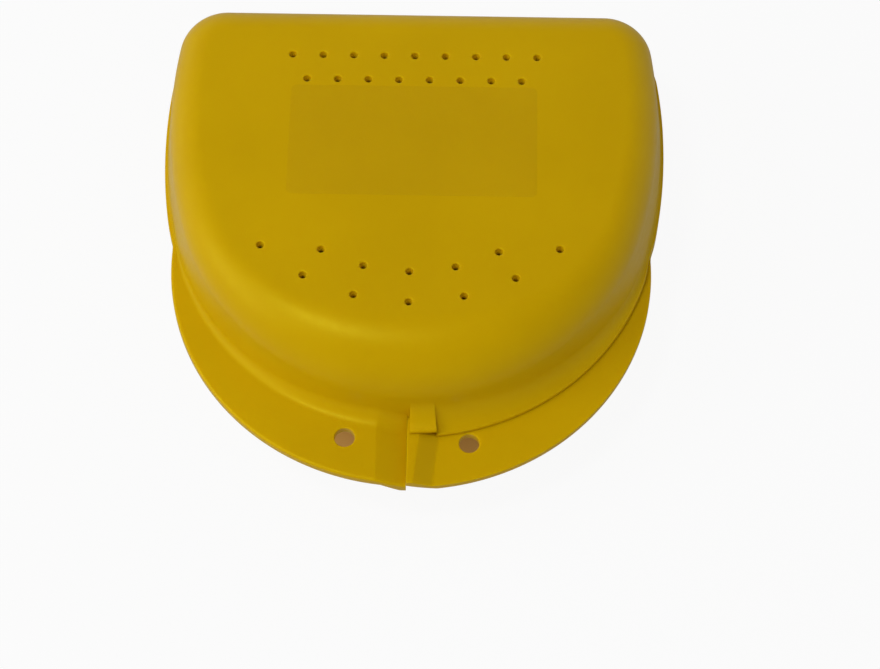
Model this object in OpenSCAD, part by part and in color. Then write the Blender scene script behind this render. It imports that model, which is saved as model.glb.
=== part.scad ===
// Hinged denture case: two like half shells, joined at the back and clicked shut at the front.
// +Z is up, the front is towards -Y, and the origin is the middle of the footprint on the table.
// Each half carries one half of the crescent-shaped thumb flange at the front.

/* [Outline] */
// Width across the rim at its widest place
rim_w = 83; // [76:0.2:90]
// Depth of the rim, from its straight back edge to its front
rim_depth = 74.4; // [68:0.2:82]
// Distance from the back edge of the rim to the widest place
widest_back = 20; // [16:0.1:26]
// Radius of the bowed sides
side_r = 85; // [70:1:160]
// Radius of the two back corners, measured on the side wall
corner_r = 9.3; // [8:0.1:14]

/* [Shell] */
// Height of one half
half_h = 15; // [12:0.5:20]
// Thickness of the shell
wall = 1.5; // [1:0.1:2]
// Draft of the side walls, in degrees
draft = 7.5; // [4:0.5:10]
// Largest radius between the flat face and the side and back walls
edge_r = 5.5; // [4:0.5:8]
// Radius between the flat face and the front wall
front_edge_r = 10.5; // [8:0.5:11]

/* [Rim] */
// Thickness of the rim and of the flange
rim_t = 1.5; // [1.2:0.1:2]
// Width of the rim at the sides and the back
rim_side = 0.3; // [0.3:0.1:1.4]
// Width of the rim at the middle of the front
rim_front = 2.8; // [2.2:0.1:3.4]
// Largest radius of the hollow sweep from the wall out to the rim
sweep_r = 3; // [1.5:0.1:4]

/* [Thumb flange] */
// Radius of the flange's outer edge
flange_r = 39.1; // [36:0.1:42]
// Reach of the flange in front of the rim
flange_reach = 8.4; // [7:0.1:12]
// Radius of the cord hole in each half of the flange
cord_hole_r = 1.6; // [1:0.1:2.2]
// Distance of each cord hole from the middle
cord_hole_x = 9.8; // [8:0.1:16]
// Distance of each cord hole from the front edge of the flange
cord_hole_in = 7.7; // [5:0.1:8]

/* [Click latch] */
// Width of the level ridge at the end of each half flange
ridge_w = 1.9; // [1.2:0.1:3]
// Length of the slope between the ridge and the flat flange
slope_w = 3; // [2:0.1:4]
// Gap between a half flange's end and the middle of the case
end_gap = 0.15; // [0.15:0.05:0.5]
// Height of the click bead on the ridge's end
bead_h = 0.1; // [0.05:0.05:0.1]
// Length of the click bead
bead_l = 5; // [2:0.5:6]
// Width of the arch that carries the rim over the other half's ridge and slope
arch_w = 3.9; // [3:0.1:5]
// Distance from the arch to the middle of the case
arch_in = 0.45; // [0.3:0.05:0.8]
// Clearance round the other half's ridge
latch_gap = 0.25; // [0.15:0.05:0.4]

/* [Hinge] */
// Radius of the knuckles
knuckle_r = 2.2; // [1.9:0.1:3]
// Radius of the moulded hinge pins
pin_r = 1.2; // [0.8:0.1:1.3]
// Running clearance round a pin
pin_gap = 0.05; // [0.02:0.01:0.09]
// Distance of each hinge from the middle
hinge_x = 22; // [14:0.5:25]
// Length of each clip
clip_l = 6; // [4:0.5:10]
// Thickness of the cheeks that hold a pin
cheek_t = 2; // [1.5:0.1:3]
// Clearance beside the clip and behind the walls
hinge_gap = 0.2; // [0.15:0.05:0.4]
// Width of the mouth that lets a pin snap into its clip
mouth_w = 1.8; // [1:0.1:2]

/* [Air holes] */
// Radius of an air hole
vent_r = 0.7; // [0.5:0.1:1.2]
// Pitch of the two straight rows
vent_pitch = 5; // [4:0.1:6]
// Holes in the rear row; the next row has one less
vent_count = 9; // [5:1:9]
// Distance from the back edge of the rim to the rear row
vent_back = 12.2; // [11.5:0.1:14]
// Distance between the two straight rows
row_step = 4.66; // [3.5:0.01:5]
// Radius of the inner arc of holes
arc_r1 = 28; // [24:0.1:29]
// Radius of the outer arc of holes
arc_r2 = 33.4; // [31:0.1:34]
// Angle between the holes of an arc
arc_step = 15; // [10:1:15]
// Distance from the back edge of the rim to the centre of the arcs
arc_back = 24.6; // [23:0.1:26]

/* [Label] */
// Width of the clear film on the lid
label_w = 40; // [20:0.5:44]
// Depth of the film
label_d = 20.6; // [10:0.2:21]
// Thickness of the film
label_t = 0.15; // [0.1:0.05:0.3]
// Corner radius of the film
label_r = 1; // [0.5:0.1:3]
// Distance from the back edge of the rim to the film's back edge
label_back = 18.2; // [17.8:0.1:20]

/* [Hidden] */
$fn = 96;
MERGE = 0.05; // overlap between shapes that are fused
YELLOW = [0.72, 0.57, 0.05];
CLEAR = [0.80, 0.70, 0.35, 0.5];
front_steps = 20; // facets of half the front arc
side_steps = 4; // facets of a side arc
corner_steps = 8; // facets of a back corner

// --- places along Y, with the footprint's middle at 0
knuckle_out = 2 * knuckle_r + hinge_gap - rim_side; // how far the hinge stands behind the rim
y_back = (flange_reach + rim_depth + knuckle_out) / 2 - knuckle_out;
y_front = y_back - rim_depth;
y_wide = y_back - widest_back;
y_flange = y_front - flange_reach + flange_r;
y_axis = y_back - rim_side + hinge_gap + knuckle_r;
y_cord = y_front - flange_reach + cord_hole_in;

// --- body outline: arcs that run into each other without a kink
side_c = side_r - rim_w / 2; // how far past the middle line a side arc's centre lies
side_body_r = side_r - rim_side;
body_front = y_front + rim_front;
// centre of the front arc that meets both side arcs and reaches to body_front
front_c = ((side_body_r + body_front) ^ 2 - side_c ^ 2 - y_wide ^ 2)
    / (2 * (side_body_r + body_front - y_wide));
front_end = atan2(front_c - y_wide, side_c);
corner_y = y_back - rim_side - corner_r;
corner_x = sqrt((side_body_r - corner_r) ^ 2 - (corner_y - y_wide) ^ 2) - side_c;
corner_start = atan2(corner_y - y_wide, corner_x + side_c);

// --- side wall section: x is outwards from the wall's outer edge at the rim
slope = tan(draft);
strip_w = 0.5; // width of flat face that the swept wall carries
// how far inside the wall's outer edge a bend of radius r ends
function bend_in(r) = (half_h - r * (1 - sin(draft))) * slope + r * cos(draft);
// the largest bend that the corners leave room for
bend_room = (corner_r - strip_w - 0.1 - half_h * slope) / (cos(draft) - slope * (1 - sin(draft)));
// the largest bend that fits under the hollow sweep
wall_room = (half_h - rim_t) / (1 - sin(draft)) - sweep_r;
back_bend = min(edge_r, bend_room, wall_room);
front_bend = max(back_bend, min(front_edge_r, wall_room));

// how much of the front's shape the place has whose outward normal has angle a
function frontness(a) = a < 0 ? pow(-sin(a), 1.4) : 0;
function rim_at(a) = rim_side + (rim_front - rim_side) * frontness(a);
function bend_at(a) = back_bend + (front_bend - back_bend) * frontness(a) ^ 2;
function sweep_at(a) =
    min(sweep_r, (rim_at(a) - 0.1 + rim_t * slope) / (1 / cos(draft) - slope));

// points of an arc of radius r round c, from angle a0 to a1 in n steps
function arc(c, r, a0, a1, n) =
    [for (i = [0:n]) let (a = a0 + (a1 - a0) * i / n) [c[0] + r * cos(a), c[1] + r * sin(a)]];

// the wall's section at outward normal a, as a closed loop of points [out, up]
function section(a) =
    let (b = bend_at(a), c = [-bend_in(b), b], s = sweep_at(a),
        k = [s / cos(draft) - (rim_t + s) * slope, half_h - rim_t - s])
    concat([[c[0] - strip_w, 0]],
        arc(c, b, -90, -draft, 9),
        arc(k, s, 180 - draft, 90, 5),
        [[rim_at(a), half_h - rim_t], [rim_at(a), half_h], [-wall / cos(draft), half_h]],
        arc(c, b - wall, -draft, -90, 7),
        [[c[0] - strip_w, wall]]);

// --- stations [x, y, angle of the outward normal, side], anticlockwise from the middle of the front
function station(c, r, a) = [c[0] + r * cos(a), c[1] + r * sin(a), a, 1];
right_half = concat(
    [for (i = [0:front_steps])
        station([0, front_c], front_c - body_front, -90 + (front_end + 90) * i / front_steps)],
    [for (i = [1:side_steps])
        station([-side_c, y_wide], side_body_r, front_end + (corner_start - front_end) * i / side_steps)],
    [for (i = [1:corner_steps])
        station([corner_x, corner_y], corner_r, corner_start + (90 - corner_start) * i / corner_steps)]);
left_half = [for (i = [len(right_half) - 1:-1:1]) let (p = right_half[i]) [-p[0], p[1], p[2], -1]];
stations = concat(right_half, left_half);
// station p moved outwards by d, as a plan point
function moved(p, d) = [p[0] + d * p[3] * cos(p[2]), p[1] + d * sin(p[2])];
function body_line(d) = [for (p = stations) moved(p, d)];
function rim_line() = [for (p = stations) moved(p, rim_at(p[2]))];
function face_line() = [for (p = stations) moved(p, -bend_in(bend_at(p[2])) - strip_w / 2)];

// The wall's section carried round the body's outline
module swept_wall() {
    n = len(stations);
    m = len(section(0));
    points = [for (p = stations, q = section(p[2])) concat(moved(p, q[0]), q[1])];
    faces = [for (i = [0:n - 1], j = [0:m - 1])
        let (i1 = (i + 1) % n, j1 = (j + 1) % m)
        each [[i * m + j, i1 * m + j1, i1 * m + j], [i * m + j, i * m + j1, i1 * m + j1]]];
    polyhedron(points, faces, convexity = 8);
}

module face_plate() {
    linear_extrude(wall) polygon(face_line());
}

module vents() {
    y1 = y_back - vent_back;
    for (i = [0:vent_count - 1]) vent([(i - (vent_count - 1) / 2) * vent_pitch, y1]);
    for (i = [0:vent_count - 2]) vent([(i - (vent_count - 2) / 2) * vent_pitch, y1 - row_step]);
    for (i = [-2:2]) arc_vent(arc_r1, i);
    for (i = [-3:3]) arc_vent(arc_r2, i);
}

module arc_vent(r, i) {
    vent([r * sin(arc_step * i), y_back - arc_back - r * cos(arc_step * i)]);
}

module vent(p) {
    translate([p[0], p[1], -1]) cylinder(h = wall + 2, r = vent_r);
}

// Plan of the half flange to the right of x0
module flange_plan(x0) {
    intersection() {
        translate([0, y_flange]) circle(flange_r);
        translate([x0, y_flange - 2 * flange_r]) square(3 * flange_r);
    }
}

module flange() {
    translate([0, 0, half_h - rim_t]) linear_extrude(rim_t) difference() {
        flange_plan(ridge_w + slope_w);
        polygon(body_line(-wall / 2));
    }
}

// The end of the half flange, seen from the front: a slope that climbs past the parting plane to a ridge
module ridge_end() {
    x2 = ridge_w + slope_w;
    h = half_h;
    intersection() {
        front_slice() polygon([[x2 + MERGE, h - rim_t], [x2, h - rim_t], [end_gap, h],
            [end_gap, h + rim_t], [ridge_w, h + rim_t], [x2, h], [x2 + MERGE, h]]);
        union() {
            outside(-wall / 2, h - 2 * rim_t, h);
            outside(latch_gap, h - MERGE, h + 2 * rim_t);
        }
        linear_extrude(2 * h) flange_plan(0);
    }
    // the bead that clicks past the other half's bead
    translate([0, y_front - (flange_reach - bead_l) / 2, h]) rotate([90, 0, 0]) linear_extrude(bead_l)
        polygon([[end_gap + MERGE, rim_t * 0.1], [end_gap, rim_t * 0.1], [end_gap - bead_h, rim_t * 0.3],
            [end_gap, rim_t * 0.5], [end_gap + MERGE, rim_t * 0.5]]);
}

// A shape drawn as seen from the front, carried through the front of the case
module front_slice() {
    translate([0, y_front + rim_depth / 3, 0]) rotate([90, 0, 0]) linear_extrude(rim_depth / 2) children();
}

// All that lies more than d outside the body, between heights z0 and z1
module outside(d, z0, z1) {
    translate([0, 0, z0]) linear_extrude(z1 - z0) difference() {
        translate([-rim_w, y_front - rim_depth / 2]) square([2 * rim_w, 2 * rim_depth]);
        polygon(body_line(d));
    }
}

// Room in the rim: above the arch for the other half's ridge and slope, and under this half's own slope
module latch_room() {
    x1 = ridge_w + latch_gap;
    x2 = ridge_w + slope_w;
    run = slope_w * (1 + latch_gap / rim_t);
    z0 = half_h - rim_t - sweep_r - 1;
    z1 = half_h - rim_t - latch_gap;
    intersection() {
        front_slice() {
            polygon([[-x1 - run, half_h + 1], [-x1 - run, half_h], [-x1, z1], [0, z1], [0, half_h + 1]]);
            polygon([[-arch_in, z0], [-arch_in, half_h + 1], [x2, half_h + 1], [x2, z0]]);
        }
        outside(MERGE, 0, 2 * half_h);
    }
}

// The arch that carries the rim over the other half's ridge and slope
module latch_arch() {
    z1 = half_h - rim_t - latch_gap;
    intersection() {
        translate([-arch_in - arch_w, y_front - 1, z1 - rim_t]) cube([arch_w, rim_depth / 2, rim_t + latch_gap + MERGE]);
        linear_extrude(half_h) difference() {
            polygon(rim_line());
            polygon(body_line(-wall / 2));
        }
    }
}

// Room behind the wall for both knuckle parts of one hinge
module hinge_room(x) {
    l = clip_l + 2 * (cheek_t + 2 * hinge_gap);
    translate([x - l / 2, y_back - rim_side + MERGE, half_h - rim_t - sweep_r])
        cube([l, rim_side + 1, rim_t + sweep_r + 1]);
}

// A knuckle of length l that starts at x, with the arm that carries it
module knuckle(x, l) {
    translate([x, y_axis, half_h]) rotate([0, 90, 0]) cylinder(h = l, r = knuckle_r);
    translate([x, y_back - rim_side - wall / 2, half_h - rim_t])
        cube([l, y_axis - y_back + rim_side + wall / 2, rim_t]);
}

// Two cheeks with the pin between them
module pin_side(x) {
    x0 = x - clip_l / 2 - hinge_gap;
    translate([x0 - cheek_t / 2, y_axis, half_h]) rotate([0, 90, 0])
        cylinder(h = clip_l + 2 * hinge_gap + cheek_t, r = pin_r);
    knuckle(x0 - cheek_t, cheek_t);
    knuckle(x + clip_l / 2 + hinge_gap, cheek_t);
}

// The clip that snaps over the other half's pin
module clip_side(x) {
    difference() {
        knuckle(x - clip_l / 2, clip_l);
        translate([x - clip_l, y_axis, half_h]) rotate([0, 90, 0])
            cylinder(h = 2 * clip_l, r = pin_r + pin_gap);
        translate([x - clip_l, y_axis, half_h - mouth_w / 2]) cube([2 * clip_l, 2 * knuckle_r, mouth_w]);
    }
}

// One half, open side up: the lower half as it stands
module half() {
    difference() {
        union() {
            swept_wall();
            face_plate();
            latch_arch();
            flange();
        }
        latch_room();
        hinge_room(hinge_x);
        hinge_room(-hinge_x);
        translate([cord_hole_x, y_cord, half_h - rim_t - 1]) cylinder(h = rim_t + 2, r = cord_hole_r);
        vents();
    }
    ridge_end();
    pin_side(hinge_x);
    clip_side(-hinge_x);
}

module base() {
    color(YELLOW) half();
}

module lid() {
    color(YELLOW) translate([0, 0, 2 * half_h]) rotate([0, 180, 0]) half();
}

module label_film() {
    x = label_w / 2 - label_r;
    y0 = y_back - label_back - label_d;
    color(CLEAR) translate([0, y0, 2 * half_h]) linear_extrude(label_t) {
        translate([-label_w / 2, label_r]) square([label_w, label_d - 2 * label_r]);
        translate([-x, 0]) square([2 * x, label_d]);
        for (sx = [-x, x], y = [label_r, label_d - label_r]) translate([sx, y]) circle(label_r);
    }
}

base();
lid();
label_film();
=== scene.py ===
"""Denture case: two like half shells with a split thumb flange, and a clear label film on the lid.

Lengths are in millimetres until a mesh is made. A half is worked out open side up, with its flat
face on z = 0 and its parting plane at z = HALF_H; the lid is the same half, turned half round Y.
"""
import math

import bpy
import bmesh
import numpy as np
from mathutils import Matrix, Vector, geometry


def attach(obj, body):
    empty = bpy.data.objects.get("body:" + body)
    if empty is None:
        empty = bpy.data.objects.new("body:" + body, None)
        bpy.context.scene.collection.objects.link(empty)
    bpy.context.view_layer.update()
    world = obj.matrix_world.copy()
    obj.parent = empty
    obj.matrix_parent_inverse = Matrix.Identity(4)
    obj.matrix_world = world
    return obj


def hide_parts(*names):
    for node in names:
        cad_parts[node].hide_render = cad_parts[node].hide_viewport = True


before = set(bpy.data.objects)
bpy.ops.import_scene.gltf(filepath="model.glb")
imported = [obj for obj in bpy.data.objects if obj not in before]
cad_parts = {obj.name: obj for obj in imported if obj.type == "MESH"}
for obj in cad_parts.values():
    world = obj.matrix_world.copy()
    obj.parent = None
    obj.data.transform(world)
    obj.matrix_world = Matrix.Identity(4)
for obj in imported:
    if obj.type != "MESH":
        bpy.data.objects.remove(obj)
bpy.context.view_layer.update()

MM = 0.001

# ---------------------------------------------------------------- sizes

# Outline
RIM_W = 83.0  # across the rim at its widest place
RIM_DEPTH = 74.4  # from the rim's straight back edge to its front
WIDEST_BACK = 20.0  # from the back edge to the widest place
SIDE_R = 85.0  # radius of the bowed sides
CORNER_R = 9.3  # radius of the two back corners, on the side wall
STRIP_W = 0.5  # level strip inside the bend, for which a back corner has room
CORNER_SPARE = 0.1  # radius that is left of the corner inside that strip

# Shell
HALF_H = 15.0
WALL = 1.5
DRAFT = math.radians(7.5)  # lean of the walls
EDGE_R = 5.5  # bend between the flat face and the side and back walls
FRONT_EDGE_R = 10.5  # bend between the flat face and the front wall
LIP_ROUND = 0.25  # the wall's inner edge at the parting plane
FACE_LAP = 0.04  # level strip between the bend and the net of the flat face

# Rim
RIM_T = 1.5  # thickness of the rim and of the flange
RIM_SIDE = 0.3  # width of the rim at the sides and the back
RIM_FRONT = 2.8  # width of the rim at the middle of the front
RIM_THIN = 0.7  # how much thinner the front rim is at its edge
FRONT_FADE = 1.4  # power with which the front's shape fades out towards the sides
EDGE_SOFT = 0.45  # rounding of the rim's and flange's edge, away from the parting plane
EDGE_ROUND = 0.12  # rounding of the same edge at the parting plane
ROUND_SHARE = 0.4  # the most that either rounding takes of the rim's width
TIP_NOTCH = 0.3  # how far the rim draws in where the flange's tip meets it
NOTCH_SPREAD = 2.2  # length along Y over which it draws in

# Hollow sweep between the wall and what stands out from it
FRONT_SWEEP_R = 6.0  # at the front rim
FLANGE_SWEEP_R = 3.0  # at the flange
ARCH_SWEEP_R = 4.0  # at the latch's arch

# Thumb flange
FLANGE_R = 39.1  # radius of its outer edge
FLANGE_REACH = 8.4  # in front of the rim
FLANGE_SPAN = 0.6  # it may pass the front arc's ends, until the normal's y is this share of theirs
TIP_BLEND = 8.0  # sharpness of the run from the rim's edge into the flange's, per millimetre
CORD_HOLE_R = 1.6
CORD_HOLE_X = 9.8  # from the middle
CORD_HOLE_IN = 7.7  # from the flange's front edge
HOLE_ROUND = 0.2  # rounding of the cord hole's edges

# Click latch
RIDGE_W = 1.9  # level ridge at the half flange's end
SLOPE_W = 3.0  # slope between the ridge and the flat flange
RIDGE_TAPER = 0.9  # how much narrower the ridge is at the flange's edge
RIDGE_CREST = 0.06  # rounding of the slope's two ends, as a share of its length
UNDER_CREST = 0.04  # the same on the lower face
END_GAP = 0.02  # between the ridge's end and the middle
ARCH_W = 3.9  # arch of the rim over the other half's ridge and slope
ARCH_IN = 0.45  # between the arch and the middle
LATCH_GAP = 0.1  # clearance round the other half's ridge
RISE_AT = 1.0  # how far in front of the wall the flange's rise is tested

# Hinge
KNUCKLE_R = 2.2
PIN_R = 1.2
PIN_GAP = 0.05  # running clearance round the pin
HINGE_X = 22.0  # from the middle
CLIP_L = 6.0
CHEEK_T = 2.0  # thickness of the cheeks that hold a pin
HINGE_GAP = 0.2  # clearance beside the clip and behind the wall
MOUTH_W = 1.8  # the clip's mouth, through which a pin snaps in
KNUCKLE_ROUND = 0.2  # rounding of the cheeks' faces
CLIP_ROUND = 0.05
PIN_ROUND = 0.02

# Air holes
VENT_R = 0.7
VENT_PITCH = 5.0  # in the two straight rows
VENT_COUNT = 9  # in the rear row; the next row has one less
VENT_BACK = 12.2  # from the rim's back edge to the rear row
ROW_STEP = 4.66  # between the two rows
ARC_STEP = math.radians(15)  # between the holes of an arc
ARC_BACK = 24.6  # from the rim's back edge to the arcs' centre
ARC_R1 = 28.0  # inner arc
ARC_R2 = 33.4  # outer arc
ARC_N1 = 2  # holes on each side of the inner arc's middle one
ARC_N2 = 3  # holes on each side of the outer arc's middle one
VENT_ROUND = 0.2  # rounding of the mouth
VENT_BOWL = 0.75  # depth of the bowl in which a hole narrows
VENT_IN_R = 0.34  # bore below the bowl
VENT_IN_ROUND = 0.08  # rounding of the bore's inner end

# Label film
LABEL_W = 40.0
LABEL_D = 20.6
LABEL_T = 0.15
LABEL_R = 1.0  # its corners
LABEL_BACK = 18.2  # from the rim's back edge
LABEL_LIFT = 0.01  # the film's glue, so that its lower face and the lid's do not lie in one plane
FILM_EDGE = ((0, 0), (0, 0.6), (0.3, 0.9), (0.7, 1), (3, 1))  # inset and height, in thicknesses

# ---------------------------------------------------------------- places worked out from the sizes

SLOPE = math.tan(DRAFT)
KNUCKLE_OUT = 2 * KNUCKLE_R + HINGE_GAP - RIM_SIDE  # how far the hinge stands behind the rim
Y_BACK = (FLANGE_REACH + RIM_DEPTH + KNUCKLE_OUT) / 2 - KNUCKLE_OUT
Y_FRONT = Y_BACK - RIM_DEPTH
Y_WIDE = Y_BACK - WIDEST_BACK
Y_FLANGE = Y_FRONT - FLANGE_REACH + FLANGE_R
Y_AXIS = Y_BACK - RIM_SIDE + HINGE_GAP + KNUCKLE_R
Y_CORD = Y_FRONT - FLANGE_REACH + CORD_HOLE_IN
SIDE_C = SIDE_R - RIM_W / 2  # how far past the middle a side arc's centre lies
SIDE_BODY_R = SIDE_R - RIM_SIDE
BODY_FRONT = Y_FRONT + RIM_FRONT
# centre of the front arc that meets both side arcs and reaches to BODY_FRONT
FRONT_C = (((SIDE_BODY_R + BODY_FRONT) ** 2 - SIDE_C ** 2 - Y_WIDE ** 2)
           / (2 * (SIDE_BODY_R + BODY_FRONT - Y_WIDE)))
FRONT_R = FRONT_C - BODY_FRONT
FRONT_END = math.atan2(FRONT_C - Y_WIDE, SIDE_C)
CORNER_Y = Y_BACK - RIM_SIDE - CORNER_R
CORNER_X = math.sqrt((SIDE_BODY_R - CORNER_R) ** 2 - (CORNER_Y - Y_WIDE) ** 2) - SIDE_C
CORNER_START = math.atan2(CORNER_Y - Y_WIDE, CORNER_X + SIDE_C)
HINGE_ROOM = CLIP_L / 2 + CHEEK_T + 2 * HINGE_GAP  # half the gap that a hinge needs in the rim
# the largest bends that the corners and the hollow sweep leave room for
BEND_ROOM = ((CORNER_R - STRIP_W - CORNER_SPARE - HALF_H * SLOPE)
             / (math.cos(DRAFT) - SLOPE * (1 - math.sin(DRAFT))))
WALL_ROOM = (HALF_H - RIM_T) / (1 - math.sin(DRAFT)) - FLANGE_SWEEP_R
BACK_BEND = min(EDGE_R, BEND_ROOM, WALL_ROOM)
FRONT_BEND = max(BACK_BEND, min(FRONT_EDGE_R, WALL_ROOM))

# ---------------------------------------------------------------- fineness of the meshes

STEP = 0.004  # two stations this far apart make an upright face
NEAR = STEP / 4  # slack when a station's place is tested
BACKWARDS = 0.999  # least y of the normal on the straight back
HAIR = 0.02  # least distance between points that must not meet
LATCH_SPAN = 8.0  # half the width of the front's middle part, whose stations are close together
LATCH_CLOSE = 5.2  # they are closest from here, left of the middle
SPAN_PITCH = 0.5  # most distance between stations: in the middle part
ARCH_PITCH = 0.15  # from LATCH_CLOSE to the arch
LATCH_PITCH = 0.12  # over the arch, the slit and the flange's end
BACK_PITCH = 2.5  # along the straight back
FRONT_TURN = 0.02  # most angle between stations: on the rest of the front arc
SIDE_TURN = 0.012  # on the side arcs
CORNER_TURN = 0.06  # round the back corners
BEND_COLUMNS = 25  # section points: on the outer bend
SWEEP_COLUMNS = 11  # on the hollow sweep
SOFT_COLUMNS = 6  # on the rounding EDGE_SOFT
ROUND_COLUMNS = 4  # on the rounding EDGE_ROUND
LIP_COLUMNS = 5  # on the lip
INNER_BEND_COLUMNS = 17  # on the inner bend
# places of the section points across the plate's two faces, as shares of their width
UNDER_ACROSS = np.concatenate([[0.03], np.linspace(0.09, 0.93, 13), [0.98, 1]])
UPPER_ACROSS = np.concatenate([[0.02], np.linspace(0.07, 0.91, 13), [0.97, 1]])
SLANT_STEPS = 4  # rounds in which the sweep's slant settles
CUT_W = 0.06  # width of the sliver that is left of the rim in a gap
CUT_SWEEP = 0.05  # radius of its hollow sweep
CUT_ROUND = 0.03  # rounding of its edge
HOLE_POINTS = 64  # points: round a cord hole
VENT_POINTS = 28  # round an air hole
CHEEK_POINTS = 60  # round a cheek
CLIP_POINTS = 30  # on each side of a clip's outside
BORE_POINTS = 40  # round a clip's bore
PIN_POINTS = 48  # round a pin
HOLE_ROUND_POINTS = 6  # on the rounding of a hole's edge, and on the bowl
BAR_ROUND_POINTS = 4  # on the rounding of a cheek's, clip's or pin's end
FILM_CORNER_POINTS = 10  # round a corner of the film
HOLE_RING = 0.05  # width of the level ring round a hole
NET_ROOM = 1.1  # width of the net round a cord hole
NET_MERGE = 1e-7  # points of a net nearer than this are one
WELD = 2e-7  # points of a mesh nearer than this are merged, in metres
SHARP = math.radians(38)  # edges sharper than this are not smoothed


# ---------------------------------------------------------------- outline

def spread(a, b, pitch):
    """Evenly spaced values from a up to, but not including, b, at most pitch apart."""
    n = max(1, math.ceil(abs(b - a) / pitch))
    return a + (b - a) * np.arange(n) / n


def front_places():
    """x over the front arc's middle part: close together over the latch, with a pair of places, STEP
    apart, at each upright face of the arch and of the flange's end."""
    faces = [-ARCH_IN - ARCH_W, -ARCH_IN, END_GAP]
    ends = [face - STEP for face in faces[1:]] + [LATCH_SPAN]
    xs = [spread(-LATCH_SPAN, -LATCH_CLOSE, SPAN_PITCH), spread(-LATCH_CLOSE, faces[0] - STEP, ARCH_PITCH)]
    for face, end in zip(faces, ends):
        xs += [[face - STEP], spread(face, end, LATCH_PITCH)]
    return np.concatenate(xs)


def front_arc():
    """Points and outward normals of the front arc, from left to right: at an angle t from straight
    forwards the normal is (sin t, -cos t), and the point lies FRONT_R along it from the arc's centre."""
    half = math.pi / 2 + FRONT_END
    middle = math.asin(LATCH_SPAN / FRONT_R)
    t = np.concatenate([spread(-half, -middle, FRONT_TURN),
                        np.arcsin(front_places() / FRONT_R),
                        spread(middle, half, FRONT_TURN)])
    points = np.stack([FRONT_R * np.sin(t), FRONT_C - FRONT_R * np.cos(t)], 1)
    return points, np.stack([np.sin(t), -np.cos(t)], 1)


def plan_arc(cx, cy, r, a0, a1, pitch):
    """Points and outward normals of an arc of radius r round (cx, cy), from a0 to just before a1."""
    a = spread(a0, a1, pitch)
    n = np.stack([np.cos(a), np.sin(a)], 1)
    return np.array([cx, cy]) + r * n, n


def straight_back():
    """Points and outward normals of the straight back, from right to left, with a pair of places, STEP
    apart, at both ends of each hinge's gap."""
    ends = [CORNER_X, HINGE_X + HINGE_ROOM, HINGE_X - HINGE_ROOM,
            -HINGE_X + HINGE_ROOM, -HINGE_X - HINGE_ROOM, -CORNER_X]
    xs = [spread(ends[0], ends[1] + STEP, BACK_PITCH)]
    for a, b in zip(ends[1:], ends[2:]):
        xs += [[a + STEP], spread(a, b + STEP, BACK_PITCH)]
    xs = np.concatenate(xs)
    return np.stack([xs, np.full_like(xs, CORNER_Y + CORNER_R)], 1), np.tile([0.0, 1.0], (len(xs), 1))


def stations():
    """Plan points of the body's outline at the parting plane and their outward normals, anticlockwise
    from the left end of the front arc: front arc, right side, right corner, straight back, left corner,
    left side. The left side and corner mirror the right ones, in reverse."""
    side = plan_arc(-SIDE_C, Y_WIDE, SIDE_BODY_R, FRONT_END, CORNER_START, SIDE_TURN)
    corner = plan_arc(CORNER_X, CORNER_Y, CORNER_R, CORNER_START, math.pi / 2, CORNER_TURN)
    back = straight_back()
    left = [np.concatenate([side[k], corner[k], back[k][:1]])[:0:-1] * [-1, 1] for k in (0, 1)]
    parts = (front_arc(), side, corner, back, left)
    p, n = (np.concatenate([part[k] for part in parts]) for k in (0, 1))
    keep = np.linalg.norm(p - np.roll(p, 1, 0), axis=1) > STEP / 2
    return p[keep], n[keep]


# ---------------------------------------------------------------- section

def bend_in(r):
    """How far inside the wall's outer edge a bend of radius r ends."""
    return (HALF_H - r * (1 - math.sin(DRAFT))) * SLOPE + r * math.cos(DRAFT)


def soft_ramp(u, h):
    """0 below 0, 1 above 1 and u between, with both corners rounded by a parabola over h either way."""
    def rise(v):
        return np.where(v < -h, 0, np.where(v > h, v, (v + h) ** 2 / (4 * h)))
    return rise(u) - rise(u - 1)


def ridge_rise(x, y):
    """Height of the flange's upper face over the parting plane: a slope up to a level ridge, which
    narrows evenly towards the flange's edge."""
    out = np.clip((Y_FRONT - y) / FLANGE_REACH, 0, 1)
    ridge_end = RIDGE_W - RIDGE_TAPER * out
    return RIM_T * soft_ramp((ridge_end + SLOPE_W - x) / SLOPE_W, RIDGE_CREST)


def ridge_under(x, y):
    """Height of the flange's lower face over its level part: one long slope to its end, whatever y is."""
    return RIM_T * soft_ramp((RIDGE_W + SLOPE_W - x) / (RIDGE_W + SLOPE_W), UNDER_CREST)


def zones(p, n):
    """Which stations carry the half flange, which the arch, and which lie in a gap: the slit between
    those two or the room that a hinge needs."""
    x = p[:, 0]
    at_front = n[:, 1] < FLANGE_SPAN * math.sin(FRONT_END)
    flange = at_front & (x >= END_GAP - NEAR)
    arch = at_front & (x > -ARCH_IN - ARCH_W - NEAR) & (x < -ARCH_IN - NEAR)
    slit = at_front & (x >= -ARCH_IN - NEAR) & ~flange
    hinge = (n[:, 1] > BACKWARDS) & (np.abs(np.abs(x) - HINGE_X) <= HINGE_ROOM + NEAR)
    return flange, arch, slit | hinge


def flange_edge(p, n):
    """Distance from each station along its normal to the flange's edge, a circle round (0, Y_FLANGE)."""
    d = p - [0, Y_FLANGE]
    b = (d * n).sum(1)
    return -b + np.sqrt(np.maximum(b * b - (d * d).sum(1) + FLANGE_R ** 2, 0))


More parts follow.
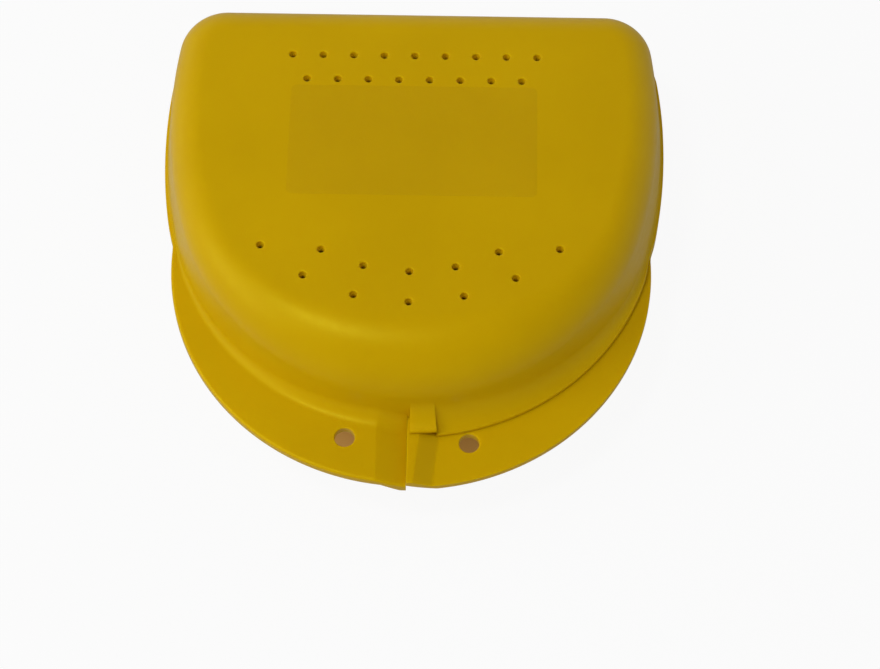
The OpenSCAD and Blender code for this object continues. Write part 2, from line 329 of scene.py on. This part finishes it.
def plate_widths(p, n, front, flange):
    """Widths of the rim and of the plate at each station, outwards from the wall.

    The rim widens with front, less a bell curve where the flange's tip meets it. The plate is the rim
    or, on the flange, a soft maximum of the rim and the distance to the flange's edge."""
    y = p[:, 1]
    rim = RIM_SIDE + (RIM_FRONT - RIM_SIDE) * front
    to_edge = flange_edge(p, n)
    tip = np.argmin(np.where((p[:, 0] > 0) & (n[:, 1] < 0), np.abs(to_edge - rim), np.inf))
    rim = rim - TIP_NOTCH * np.exp(-((y - y[tip]) / NOTCH_SPREAD) ** 2)
    to_edge = np.minimum(to_edge, FLANGE_R)  # keeps the soft maximum finite far from the flange
    return rim, np.where(flange, np.logaddexp(rim * TIP_BLEND, to_edge * TIP_BLEND) / TIP_BLEND, rim)


def sweep_and_slant(reach, soft, front, flange, arch):
    """Radius of the hollow sweep, and the slant at which it runs into the plate's lower face.

    A sweep that ends level has the radius that its reach gives. The flange's does, up to FLANGE_SWEEP_R.
    The rim's is larger towards the front and stops short of level, at the angle where it has come as far
    out as it may."""
    level = reach / (1 / math.cos(DRAFT) - SLOPE)
    large = level + (np.where(arch, ARCH_SWEEP_R, FRONT_SWEEP_R) - level) * front
    sweep = np.where(flange, np.minimum(level, FLANGE_SWEEP_R), np.maximum(level, large))
    slant = np.zeros_like(reach)
    for _ in range(SLANT_STEPS):
        full = reach + soft * np.sin(slant)
        end = np.arccos(np.clip(full * math.cos(DRAFT) / sweep - 1, -1, -math.sin(DRAFT)))
        slant = end - DRAFT - math.pi / 2
    return sweep, slant


class Section:
    """Gathers the columns of the shell's grid, each one section point at every station."""

    def __init__(self, p, n, flange):
        self.p, self.n, self.flange, self.columns = p, n, flange, []

    def add(self, out, z):
        """Adds the points at a distance out along the normals and at the height z."""
        out, z = (np.broadcast_to(v, len(self.p)) for v in (out, z))
        self.columns.append(np.column_stack([self.p + out[:, None] * self.n, z]))

    def lift(self, rise, out):
        """What rise gives, on the flange alone, for the places at a distance out along the normals."""
        q = self.p + out[:, None] * self.n
        return np.where(self.flange, rise(q[:, 0], q[:, 1]), 0.0)

    def cells_from(self, start):
        """The columns of cells that lie between the last column of points before start and the newest."""
        return slice(start - 1, len(self.columns) - 1)


def shell_grid(p, n):
    """The half's wall, rim and flange as a grid with one row of section points for each station, and
    which columns of its cells are the plate's lower and its upper face.

    From outside to inside: flat face, bend, drafted wall, hollow sweep, lower face of the plate, its
    edge, its upper face, the lip, inner wall, inner bend, inner face. The plate is the rim or, at the
    right front, the flange. Bends, sweep and roundings are arcs: a centre plus the radius times the
    cosine outwards and the sine upwards."""
    flange, arch, cut = zones(p, n)
    front = np.clip(-n[:, 1], 0, 1) ** FRONT_FADE
    bend = BACK_BEND + (FRONT_BEND - BACK_BEND) * front ** 2
    rim, wide = plate_widths(p, n, front, flange)
    soft = np.minimum(EDGE_SOFT, ROUND_SHARE * rim)
    edge = np.minimum(EDGE_ROUND, ROUND_SHARE * rim)
    drop = np.where(arch, RIM_T + LATCH_GAP, 0.0)
    top = HALF_H - drop
    low = HALF_H - RIM_T - drop + np.where(flange | cut, 0, RIM_THIN * front)
    reach = rim - soft - HAIR + (HALF_H - low) * SLOPE
    sweep, slant = sweep_and_slant(reach, soft, front, flange, arch)

    # in a gap only a sliver of the rim is left
    wide = np.where(cut, CUT_W, wide)
    soft = np.where(cut, CUT_ROUND, soft)
    edge = np.where(cut, CUT_ROUND, edge)
    sweep = np.where(cut, CUT_SWEEP, sweep)
    slant = np.where(cut, 0, slant)

    section = Section(p, n, flange)
    foot = -bend_in(bend)
    section.add(foot - FACE_LAP, 0)
    for a in np.linspace(-math.pi / 2, -DRAFT, BEND_COLUMNS):
        section.add(foot + bend * math.cos(a), bend * (1 + math.sin(a)))

    # hollow sweep: it touches the wall's slope and stands on the plate's lower face
    level_end = sweep / math.cos(DRAFT) - (HALF_H - low + sweep) * SLOPE
    stand = low + section.lift(ridge_under, level_end) - HAIR * np.tan(slant)
    sweep_z = stand - sweep * np.cos(slant)
    sweep_out = sweep / math.cos(DRAFT) - (HALF_H - sweep_z) * SLOPE
    for t in np.linspace(0, 1, SWEEP_COLUMNS):
        a = (math.pi - DRAFT) * (1 - t) + (math.pi / 2 + slant) * t
        section.add(sweep_out + sweep * np.cos(a), sweep_z + sweep * np.sin(a))

    # lower face of the plate, at the slant, then its edge
    start = sweep_out - sweep * np.sin(slant)
    end = wide - soft * (1 - np.sin(slant))
    first = len(section.columns)
    for t in UNDER_ACROSS:
        out = start + (end - start) * t
        section.add(out, low + (out - end) * np.tan(slant) + section.lift(ridge_under, out))
    under = section.cells_from(first)
    for t in np.linspace(0, 1, SOFT_COLUMNS + 1)[1:]:
        a = (slant - math.pi / 2) * (1 - t)
        out = wide - soft + soft * np.cos(a)
        section.add(out, low + soft * (np.cos(slant) + np.sin(a)) + section.lift(ridge_under, out))
    for a in np.linspace(0, math.pi / 2, ROUND_COLUMNS):
        out = wide - edge + edge * math.cos(a)
        section.add(out, top - edge + edge * math.sin(a) + section.lift(ridge_rise, out))

    # upper face of the plate; where it rises past the parting plane it keeps clear of the other half's wall
    raised = flange & (ridge_rise(p[:, 0], p[:, 1] - RISE_AT) > HAIR)
    inner = np.minimum(np.where(raised, LATCH_GAP, HAIR), wide - edge)
    first = len(section.columns)
    for t in UPPER_ACROSS:
        out = wide - edge + (inner - wide + edge) * t
        section.add(out, top + section.lift(ridge_rise, out))
    upper = section.cells_from(first)
    section.add(inner, HALF_H)

    # lip, inner wall and inner bend
    section.add(-WALL / math.cos(DRAFT) / 2, HALF_H)
    lip = -WALL / math.cos(DRAFT) + LIP_ROUND * (1 + SLOPE)
    for a in np.linspace(math.pi / 2, math.pi, LIP_COLUMNS):
        z = HALF_H - LIP_ROUND + LIP_ROUND * math.sin(a)
        section.add(lip + LIP_ROUND * math.cos(a) - (HALF_H - z) * SLOPE, z)
    for a in np.linspace(-DRAFT, -math.pi / 2, INNER_BEND_COLUMNS):
        section.add(foot + (bend - WALL) * math.cos(a), bend + (bend - WALL) * math.sin(a))
    section.add(foot - FACE_LAP, WALL)
    return np.stack(section.columns, 1), under, upper


# ---------------------------------------------------------------- mesh building

class Surface:
    """Points and faces that are gathered as whole arrays and welded into one closed mesh."""

    def __init__(self):
        self.points, self.faces, self.count = [], [], 0

    def add(self, points, faces):
        """Adds an array of points, and an array of faces that number them from 0."""
        self.points.append(np.asarray(points, float).reshape(-1, 3))
        self.faces += (np.asarray(faces) + self.count).tolist()
        self.count += len(self.points[-1])

    def grid(self, g, loop_u=False, loop_v=False, skip=None):
        """Adds a grid of points (rows, columns, 3) with a four-sided face in each cell that is not
        skipped. A looped grid has cells between its last and first row (u) or column (v) too."""
        nu, nv = g.shape[:2]
        i = np.arange(nu if loop_u else nu - 1)[:, None]
        j = np.arange(nv if loop_v else nv - 1)[None, :]
        i1, j1 = (i + 1) % nu, (j + 1) % nv
        corners = (i * nv + j, i1 * nv + j, i1 * nv + j1, i * nv + j1)
        quads = np.stack(np.broadcast_arrays(*corners), -1)
        self.add(g, quads.reshape(-1, 4) if skip is None else quads[~skip])

    def weld(self, name, turn=False):
        """Makes the mesh object, with doubled points merged and faces outwards. turn lays it as the
        upper half: (x, y, z) goes to (-x, y, 2 HALF_H - z)."""
        pts = np.concatenate(self.points)
        if turn:
            pts = pts * [-1, 1, -1] + [0, 0, 2 * HALF_H]
        mesh = bpy.data.meshes.new(name)
        mesh.from_pydata((pts * MM).tolist(), [], self.faces)
        bm = bmesh.new()
        bm.from_mesh(mesh)
        bmesh.ops.remove_doubles(bm, verts=bm.verts, dist=WELD)
        bmesh.ops.dissolve_degenerate(bm, edges=bm.edges, dist=WELD)
        bmesh.ops.recalc_face_normals(bm, faces=bm.faces)
        bm.to_mesh(mesh)
        bm.free()
        mesh.shade_smooth()
        mesh.set_sharp_from_angle(angle=SHARP)
        obj = bpy.data.objects.new(name, mesh)
        bpy.context.collection.objects.link(obj)
        return obj


def inside(ring, points):
    """Which plan points lie inside a ring: a line from them towards +X crosses it an odd number of times."""
    x, y = points[:, :1], points[:, 1:2]
    a, b = ring, np.roll(ring, -1, 0)
    spans = (a[:, 1][None] > y) != (b[:, 1][None] > y)
    with np.errstate(divide="ignore", invalid="ignore"):
        cross = a[:, 0] + (y - a[:, 1]) * (b[:, 0] - a[:, 0]) / (b[:, 1] - a[:, 1])
    return (spans & (x < cross)).sum(1) % 2 == 1


def plan_fill(rings):
    """Triangles between the first ring and the others, its holes, seen in plan: a constrained Delaunay
    net over all their points, of which those inside the first ring and outside every hole are kept. They
    number the points ring after ring."""
    rings = [np.asarray(r)[:, :2] for r in rings]
    pts = np.concatenate(rings)
    edges, start = [], 0
    for r in rings:
        i = np.arange(len(r))
        edges += np.stack([start + i, start + (i + 1) % len(r)], 1).tolist()
        start += len(r)
    net = geometry.delaunay_2d_cdt([Vector(q) for q in pts], edges, [], 0, NET_MERGE)
    source = np.array([sources[0] for sources in net[3]])
    tris = source[np.array(net[2])]
    middle = pts[tris].mean(1)
    keep = inside(rings[0], middle)
    for r in rings[1:]:
        keep &= ~inside(r, middle)
    return tris[keep]


# ---------------------------------------------------------------- holes

def circles(centres, r, z, count):
    """Points of a level circle of radius r at height z round each centre."""
    a = np.arange(count) * 2 * math.pi / count
    c = np.asarray(centres, float).reshape(-1, 2)
    x = c[:, :1] + r * np.cos(a)
    y = c[:, 1:] + r * np.sin(a)
    return np.stack([x, y, np.full_like(x, z)], -1)


def hole_profile(r0, r1, z0, z1, round0, round1, middle=()):
    """Radius and height along a hole from radius r0 at the face z0 to r1 at the face z1: a level ring, a
    quarter round, the points of middle, and the same again at the other face."""
    a = np.linspace(0, math.pi / 2, HOLE_ROUND_POINTS)
    lower = np.stack([r0 + round0 * (1 - np.sin(a)), z0 + round0 * (1 - np.cos(a))], 1)
    upper = np.stack([r1 + round1 * (1 - np.cos(a)), z1 - round1 * (1 - np.sin(a))], 1)
    return np.concatenate([[[r0 + round0 + HOLE_RING, z0]], lower, np.reshape(middle, (-1, 2)),
                           upper, [[r1 + round1 + HOLE_RING, z1]]])


def vent_profile():
    """An air hole's profile: a rounded mouth, a bowl that narrows as a quarter ellipse, and a fine bore."""
    mouth = VENT_R - VENT_ROUND / 2
    a = np.linspace(0, math.pi / 2, HOLE_ROUND_POINTS)[1:-1]
    bowl = np.stack([VENT_IN_R + (mouth - VENT_IN_R) * np.cos(a),
                     VENT_ROUND + (VENT_BOWL - VENT_ROUND) * np.sin(a)], 1)
    return hole_profile(mouth, VENT_IN_R, 0, WALL, VENT_ROUND, VENT_IN_ROUND, bowl)


def vent_places():
    """Centres of the air holes: two straight rows at the back and two arcs at the front."""
    y1 = Y_BACK - VENT_BACK
    places = [[(i - (VENT_COUNT - 1) / 2) * VENT_PITCH, y1] for i in range(VENT_COUNT)]
    places += [[(i - (VENT_COUNT - 2) / 2) * VENT_PITCH, y1 - ROW_STEP] for i in range(VENT_COUNT - 1)]
    for r, each_side in ((ARC_R1, ARC_N1), (ARC_R2, ARC_N2)):
        for i in range(-each_side, each_side + 1):
            places.append([r * math.sin(ARC_STEP * i), Y_BACK - ARC_BACK - r * math.cos(ARC_STEP * i)])
    return np.array(places)


def drill(surface, loops, centres, profile, count):
    """Adds the bores of holes at centres, each the profile turned round a centre, and fills the level
    face inside each of the two loops, the lower and the upper, round them."""
    tubes = np.stack([circles(centres, r, z, count) for r, z in profile], 1)
    for tube in tubes:
        surface.grid(tube, loop_v=True)
    for loop, k in zip(loops, (0, -1)):
        rings = [loop, *tubes[:, k]]
        surface.add(np.concatenate(rings), plan_fill(rings))


def border(cells, g):
    """The points of grid g round a patch of its cells, in order: each side of a cell whose neighbour is
    not in the patch leads from one point to the next."""
    nu = g.shape[0]
    following = {}
    for i, j in zip(*np.nonzero(cells)):
        i1 = (i + 1) % nu
        sides = (((i, j), (i1, j), (i, j - 1)), ((i1, j), (i1, j + 1), (i1, j)),
                 ((i1, j + 1), (i, j + 1), (i, j + 1)), ((i, j + 1), (i, j), (i - 1, j)))
        for a, b, neighbour in sides:
            if not cells[neighbour]:
                following[a] = b
    start = at = next(iter(following))
    loop = []
    while True:
        loop.append(g[at])
        at = following[at]
        if at == start:
            return np.array(loop)


def bored_plate(surface, g, faces):
    """Adds the shell's grid without the cells round the cord hole, on both faces of the flange, and
    fills those two gaps with a net that has the hole in it."""
    following = np.roll(g, -1, 0)
    middle = (g[:, :-1] + g[:, 1:] + following[:, :-1] + following[:, 1:]) / 4
    near = np.hypot(middle[..., 0] - CORD_HOLE_X, middle[..., 1] - Y_CORD) < CORD_HOLE_R + NET_ROOM
    skip = np.zeros_like(near)
    loops = []
    for columns in faces:
        patch = np.zeros_like(near)
        patch[:, columns] = near[:, columns]
        skip |= patch
        loops.append(border(patch, g))
    surface.grid(g, loop_u=True, skip=skip)
    profile = hole_profile(CORD_HOLE_R, CORD_HOLE_R, HALF_H - RIM_T, HALF_H, HOLE_ROUND, HOLE_ROUND)
    drill(surface, loops, [[CORD_HOLE_X, Y_CORD]], profile, HOLE_POINTS)


# ---------------------------------------------------------------- hinge

def rounded_bar(surface, loop, x0, x1, bevel):
    """A bar along X whose section is loop, a ring of (y, z) points that runs clockwise. Both ends are
    rounded over a length bevel: there the ring draws in along its normals by a quarter circle."""
    t = np.roll(loop, -1, 0) - np.roll(loop, 1, 0)
    t /= np.linalg.norm(t, axis=1)[:, None]
    inward = np.stack([t[:, 1], -t[:, 0]], 1)
    a = np.linspace(0, math.pi / 2, BAR_ROUND_POINTS)
    xs = np.concatenate([x0 + bevel * (1 - np.cos(a)), x1 - bevel * (1 - np.sin(a))])
    insets = np.concatenate([bevel * (1 - np.sin(a)), bevel * (1 - np.cos(a))])
    rows = [np.column_stack([np.full(len(loop), x), loop + inset * inward]) for x, inset in zip(xs, insets)]
    surface.grid(np.stack(rows), loop_v=True)
    for row in (rows[0], rows[-1]):
        surface.add(row, plan_fill([row[:, 1:]]))


def arc_round_axis(r, a0, a1, count):
    """Points (y, z) of an arc of radius r round the hinge's axis, in degrees from +Y towards +Z."""
    a = np.radians(np.linspace(a0, a1, count))
    return np.stack([Y_AXIS + r * np.cos(a), HALF_H + r * np.sin(a)], 1)


def hinge_parts(surface):
    """The moulded pin between its two cheeks at +X and the open clip at -X. Cheeks and clip run round
    the axis and down to an arm's lower face, and the arm is rooted a third deep in the wall. The pin
    reaches half way into both cheeks."""
    root = Y_BACK - RIM_SIDE - WALL / 3
    arm = np.array([[root, HALF_H - RIM_T], [root, HALF_H]])
    under = math.degrees(math.asin(RIM_T / KNUCKLE_R))
    mouth = math.degrees(math.asin(MOUTH_W / 2 / KNUCKLE_R))
    gape = math.degrees(math.asin(MOUTH_W / 2 / (PIN_R + PIN_GAP)))
    cheek = np.concatenate([arc_round_axis(KNUCKLE_R, 180, -180 + under, CHEEK_POINTS), arm])
    clip = np.concatenate([arc_round_axis(KNUCKLE_R, 180, mouth, CLIP_POINTS),
                           arc_round_axis(PIN_R + PIN_GAP, gape, 360 - gape, BORE_POINTS),
                           arc_round_axis(KNUCKLE_R, -mouth, -180 + under, CLIP_POINTS), arm])
    pin = arc_round_axis(PIN_R, 360, 0, PIN_POINTS + 1)[:-1]
    x0 = HINGE_X - CLIP_L / 2 - HINGE_GAP
    x1 = HINGE_X + CLIP_L / 2 + HINGE_GAP
    rounded_bar(surface, cheek, x0 - CHEEK_T, x0, KNUCKLE_ROUND)
    rounded_bar(surface, cheek, x1, x1 + CHEEK_T, KNUCKLE_ROUND)
    rounded_bar(surface, pin, x0 - CHEEK_T / 2, x1 + CHEEK_T / 2, PIN_ROUND)
    rounded_bar(surface, clip, -HINGE_X - CLIP_L / 2, -HINGE_X + CLIP_L / 2, CLIP_ROUND)


# ---------------------------------------------------------------- pieces

def half_shell(name, turn):
    """One half: the section carried round the outline, its drilled flat face, the flange and the hinge."""
    g, under, upper = shell_grid(*stations())
    surface = Surface()
    bored_plate(surface, g, (under, upper))
    drill(surface, (g[:, 0], g[:, -1]), vent_places(), vent_profile(), VENT_POINTS)
    hinge_parts(surface)
    return surface.weld(name, turn)


def label_sheet():
    """The clear film: a rectangle with a quarter circle at each corner, carried up the profile
    FILM_EDGE, in which its edge thins to nothing, and closed above and below."""
    quarter = np.linspace(0, math.pi / 2, FILM_CORNER_POINTS)
    centre = np.array([LABEL_W / 2 - LABEL_R, LABEL_D / 2 - LABEL_R])
    outline, outward = [], []
    for k, signs in enumerate(((1, 1), (-1, 1), (-1, -1), (1, -1))):
        a = quarter + k * math.pi / 2
        n = np.stack([np.cos(a), np.sin(a)], 1)
        outward.append(n)
        outline.append(centre * signs + LABEL_R * n)
    outline, outward = np.concatenate(outline), np.concatenate(outward)
    place = [0, Y_BACK - LABEL_BACK - LABEL_D / 2]
    thick = LABEL_T - LABEL_LIFT
    rows = [np.column_stack([outline - inset * thick * outward + place,
                             np.full(len(outline), 2 * HALF_H + LABEL_LIFT + height * thick)])
            for inset, height in FILM_EDGE]
    surface = Surface()
    surface.grid(np.stack(rows), loop_v=True)
    for row in (rows[0], rows[-1]):
        surface.add(row, plan_fill([row]))
    return surface.weld("label_sheet")


# ---------------------------------------------------------------- finishes

def new_finish(name):
    """A new material, its nodes and links, and its Principled shader."""
    m = bpy.data.materials.new(name)
    m.use_nodes = True
    nodes, links = m.node_tree.nodes, m.node_tree.links
    return m, nodes, links, nodes["Principled BSDF"]


def put(node, values):
    """Sets a node's sockets to plain values, and gives the node back."""
    for socket, value in values.items():
        node.inputs[socket].default_value = value
    return node


def noise(nodes, links, coords, scale, detail, rough=0.5):
    """Noise from 0 to 1 over coords, with about scale waves to the metre."""
    texture = put(nodes.new("ShaderNodeTexNoise"), {"Scale": scale, "Detail": detail, "Roughness": rough})
    links.new(coords, texture.inputs["Vector"])
    return texture.outputs["Fac"]


def between(nodes, links, value, low, high):
    """A value from 0 to 1, laid out evenly from low to high."""
    step = put(nodes.new("ShaderNodeMapRange"), {"To Min": low, "To Max": high})
    links.new(value, step.inputs["Value"])
    return step.outputs["Result"]


def shades(nodes, links, value, first, last, start=0.0, end=1.0):
    """The colour first up to the value start and last from the value end, mixed evenly between them."""
    ramp = nodes.new("ShaderNodeValToRGB")
    ends = ramp.color_ramp.elements
    ends[0].position = start
    ends[1].position = end
    ends[0].color = (*first, 1)
    ends[1].color = (*last, 1)
    links.new(value, ramp.inputs["Fac"])
    return ramp.outputs["Color"]


def times(nodes, links, value, factor):
    """A value times a factor, which is a number or another node's output."""
    product = nodes.new("ShaderNodeMath")
    product.operation = "MULTIPLY"
    links.new(value, product.inputs[0])
    if isinstance(factor, float):
        product.inputs[1].default_value = factor
    else:
        links.new(factor, product.inputs[1])
    return product.outputs["Value"]


def bump(nodes, links, height, strength, distance):
    """A bump whose height field runs over distance metres."""
    relief = put(nodes.new("ShaderNodeBump"), {"Strength": strength, "Distance": distance})
    links.new(height, relief.inputs["Height"])
    return relief


def yellow_polypropylene():
    """Semi-gloss moulded polypropylene: faint clouding in the colour, a slight waviness and a fine
    spark-eroded grain in the surface. Light passes some way through the thin walls, so the inside is not
    black."""
    m, nodes, links, shader = new_finish("yellow_polypropylene")
    coords = nodes.new("ShaderNodeTexCoord").outputs["Object"]
    clouds = noise(nodes, links, coords, scale=45, detail=3)
    colour = shades(nodes, links, clouds, (0.600, 0.366, 0.0002), (0.640, 0.396, 0.0004),
                    start=0.3, end=0.7)
    specks = noise(nodes, links, coords, scale=900, detail=2)
    gloss = between(nodes, links, specks, low=0.30, high=0.44)
    pits = noise(nodes, links, coords, scale=2200, detail=3, rough=0.6)
    grain = bump(nodes, links, pits, strength=0.5, distance=0.00003)
    swell = noise(nodes, links, coords, scale=60, detail=1)
    wave = bump(nodes, links, swell, strength=0.5, distance=0.0003)
    links.new(wave.outputs["Normal"], grain.inputs["Normal"])
    links.new(colour, shader.inputs["Base Color"])
    links.new(gloss, shader.inputs["Roughness"])
    links.new(grain.outputs["Normal"], shader.inputs["Normal"])
    put(shader, {"IOR": 1.49, "Specular IOR Level": 0.42, "Specular Tint": (0.95, 1.0, 0.06, 1)})
    put(shader, {"Subsurface Weight": 0.5, "Subsurface Radius": (1.0, 0.9, 0.1), "Subsurface Scale": 0.0015})
    return m


def clear_film():
    """Clear self-adhesive film: see-through with a faint brown tone, glossier than the plastic under it,
    and slightly uneven."""
    m, nodes, links, shader = new_finish("clear_film")
    coords = nodes.new("ShaderNodeTexCoord").outputs["Object"]
    specks = noise(nodes, links, coords, scale=400, detail=2)
    gloss = between(nodes, links, specks, low=0.2, high=0.34)
    swell = noise(nodes, links, coords, scale=180, detail=2)
    ripple = bump(nodes, links, swell, strength=0.3, distance=0.0001)
    links.new(gloss, shader.inputs["Roughness"])
    links.new(ripple.outputs["Normal"], shader.inputs["Normal"])
    put(shader, {"Base Color": (0.45, 0.27, 0.01, 1), "Alpha": 0.03, "IOR": 1.46})
    return m


# ---------------------------------------------------------------- camera

PHOTO_W = 880  # the photograph's width in pixels
FOCAL_PX = 2598.661  # focal length of the camera that was fitted to it, in pixels
SENSOR_W = 36.0
VIEW_AZIMUTH = math.radians(0.9588)  # to the right of straight ahead
VIEW_ELEVATION = math.radians(62.2142)
VIEW_ROLL = math.radians(0.0668)
VIEW_DISTANCE = 409.9954
VIEW_TARGET = np.array([4.927, -20.5243, 22.5])


def photo_camera():
    """The photograph's view: nearly straight from the front, 62 degrees up, with a long lens. The camera
    stands VIEW_DISTANCE back from its target, and its right and up are turned about that line by
    VIEW_ROLL."""
    level = math.cos(VIEW_ELEVATION)
    back = np.array([math.sin(VIEW_AZIMUTH) * level, -math.cos(VIEW_AZIMUTH) * level,
                     math.sin(VIEW_ELEVATION)])
    place = (VIEW_TARGET + VIEW_DISTANCE * back) * MM
    flat_right = np.cross(-back, [0, 0, 1])
    flat_right /= np.linalg.norm(flat_right)
    flat_up = np.cross(flat_right, -back)
    right = math.cos(VIEW_ROLL) * flat_right + math.sin(VIEW_ROLL) * flat_up
    up = -math.sin(VIEW_ROLL) * flat_right + math.cos(VIEW_ROLL) * flat_up
    data = bpy.data.cameras.new("photo_camera")
    data.sensor_fit = "HORIZONTAL"
    data.sensor_width = SENSOR_W
    data.lens = FOCAL_PX * SENSOR_W / PHOTO_W
    data.clip_start = 0.01
    data.clip_end = 20
    cam = bpy.data.objects.new("photo_camera", data)
    bpy.context.collection.objects.link(cam)
    cam.matrix_world = Matrix([[right[k], up[k], back[k], place[k]] for k in range(3)] + [[0, 0, 0, 1]])
    bpy.context.scene.camera = cam


# ---------------------------------------------------------------- floor and light, in metres

FLOOR_HALF = 1.5
FLOOR_DROP = 0.00005  # so that the floor and the case's flat face do not lie in one plane
PAINTED_SHADOW_CENTRE = (0, 0.003, 0)  # the middle of the painted shadow, an orange disc on the floor under the case
PAINTED_SHADOW_R = 0.0355  # the floor is the orange painted shadow, and gives off no light, up to here
OPEN_R = 0.0385  # and is FLOOR_OPEN, with its whole glow, from here
FLOOR_PAINTED_SHADOW = (0.90, 0.59, 0.22)  # painted shadow under the case: orange, chosen so that the cord holes look brown
FLOOR_OPEN = (0.6, 0.6, 0.6)
FLOOR_GLOW = 0.93  # share of its own light in what the camera sees of the open floor
ROOM_LOW = 0.70  # strength of the room's light from the level
ROOM_HIGH = 0.24  # and from straight above
LAMP_AIM = (0, 0, 0.02)


def pale_floor():
    """A pale floor with a painted shadow under the case: an orange disc, which gives the cord holes their
    brown. It also shows on the floor where the case leaves it bare, as the open case does. Seen straight
    by the camera the floor outside the disc gives off light as well, which makes it white."""
    signs = ((-1, -1), (1, -1), (1, 1), (-1, 1))
    corners = [(x * FLOOR_HALF, y * FLOOR_HALF, -FLOOR_DROP) for x, y in signs]
    mesh = bpy.data.meshes.new("floor")
    mesh.from_pydata(corners, [], [(0, 1, 2, 3)])
    floor = bpy.data.objects.new("floor", mesh)
    bpy.context.collection.objects.link(floor)
    m, nodes, links, shader = new_finish("floor_white_painted_shadow")
    put(shader, {"Roughness": 0.9, "Specular IOR Level": 0.0})
    away = nodes.new("ShaderNodeVectorMath")
    away.operation = "DISTANCE"
    away.inputs[1].default_value = PAINTED_SHADOW_CENTRE
    links.new(nodes.new("ShaderNodeNewGeometry").outputs["Position"], away.inputs[0])
    open_floor = put(nodes.new("ShaderNodeMapRange"), {"From Min": PAINTED_SHADOW_R, "From Max": OPEN_R})
    links.new(away.outputs["Value"], open_floor.inputs["Value"])
    # painted shadow: orange in the disc under the case, grey outside it
    colour = shades(nodes, links, open_floor.outputs["Result"], FLOOR_PAINTED_SHADOW, FLOOR_OPEN)
    links.new(colour, shader.inputs["Base Color"])
    glow = times(nodes, links, open_floor.outputs["Result"], FLOOR_GLOW)
    seen = nodes.new("ShaderNodeLightPath").outputs["Is Camera Ray"]
    mix = nodes.new("ShaderNodeMixShader")
    links.new(times(nodes, links, seen, glow), mix.inputs["Fac"])
    links.new(shader.outputs["BSDF"], mix.inputs[1])
    links.new(nodes.new("ShaderNodeEmission").outputs["Emission"], mix.inputs[2])
    links.new(mix.outputs["Shader"], nodes["Material Output"].inputs["Surface"])
    mesh.materials.append(m)


def lamp(name, place, size, watts):
    """A soft square lamp at place, turned towards LAMP_AIM."""
    data = bpy.data.lights.new(name, "AREA")
    data.size = size
    data.energy = watts
    obj = bpy.data.objects.new(name, data)
    obj.location = place
    obj.rotation_euler = (Vector(LAMP_AIM) - Vector(place)).to_track_quat("-Z", "Y").to_euler()
    bpy.context.collection.objects.link(obj)


def pale_room():
    """A pale room all round, dimmer overhead, and an even light grey where the camera sees it."""
    world = bpy.data.worlds.new("room")
    bpy.context.scene.world = world
    world.use_nodes = True
    nodes, links = world.node_tree.nodes, world.node_tree.links
    room = put(nodes["Background"], {"Color": (1, 1, 1, 1)})
    height = nodes.new("ShaderNodeSeparateXYZ")
    links.new(nodes.new("ShaderNodeTexCoord").outputs["Generated"], height.inputs["Vector"])
    links.new(between(nodes, links, height.outputs["Z"], ROOM_LOW, ROOM_HIGH), room.inputs["Strength"])
    mix = nodes.new("ShaderNodeMixShader")
    links.new(nodes.new("ShaderNodeLightPath").outputs["Is Camera Ray"], mix.inputs["Fac"])
    links.new(room.outputs["Background"], mix.inputs[1])
    links.new(nodes.new("ShaderNodeBackground").outputs["Background"], mix.inputs[2])
    links.new(mix.outputs["Shader"], nodes["World Output"].inputs["Surface"])


# ---------------------------------------------------------------- scene

photo_camera()
pale_floor()
pale_room()
lamp("window", place=(-0.38, -0.10, 0.32), size=0.3, watts=0.78)
lamp("ceiling", place=(-0.24, -0.17, 0.88), size=0.12, watts=2.05)

yellow = yellow_polypropylene()
film = clear_film()
for piece_name, node, turned in (("lower_shell", "base", False), ("upper_shell", "lid", True)):
    shell = half_shell(piece_name, turned)
    shell.data.materials.append(yellow)
    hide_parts(node)
    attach(shell, node)
label = label_sheet()
label.data.materials.append(film)
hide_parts("label_film")
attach(label, "lid")

bpy.context.scene.view_settings.view_transform = "Standard"
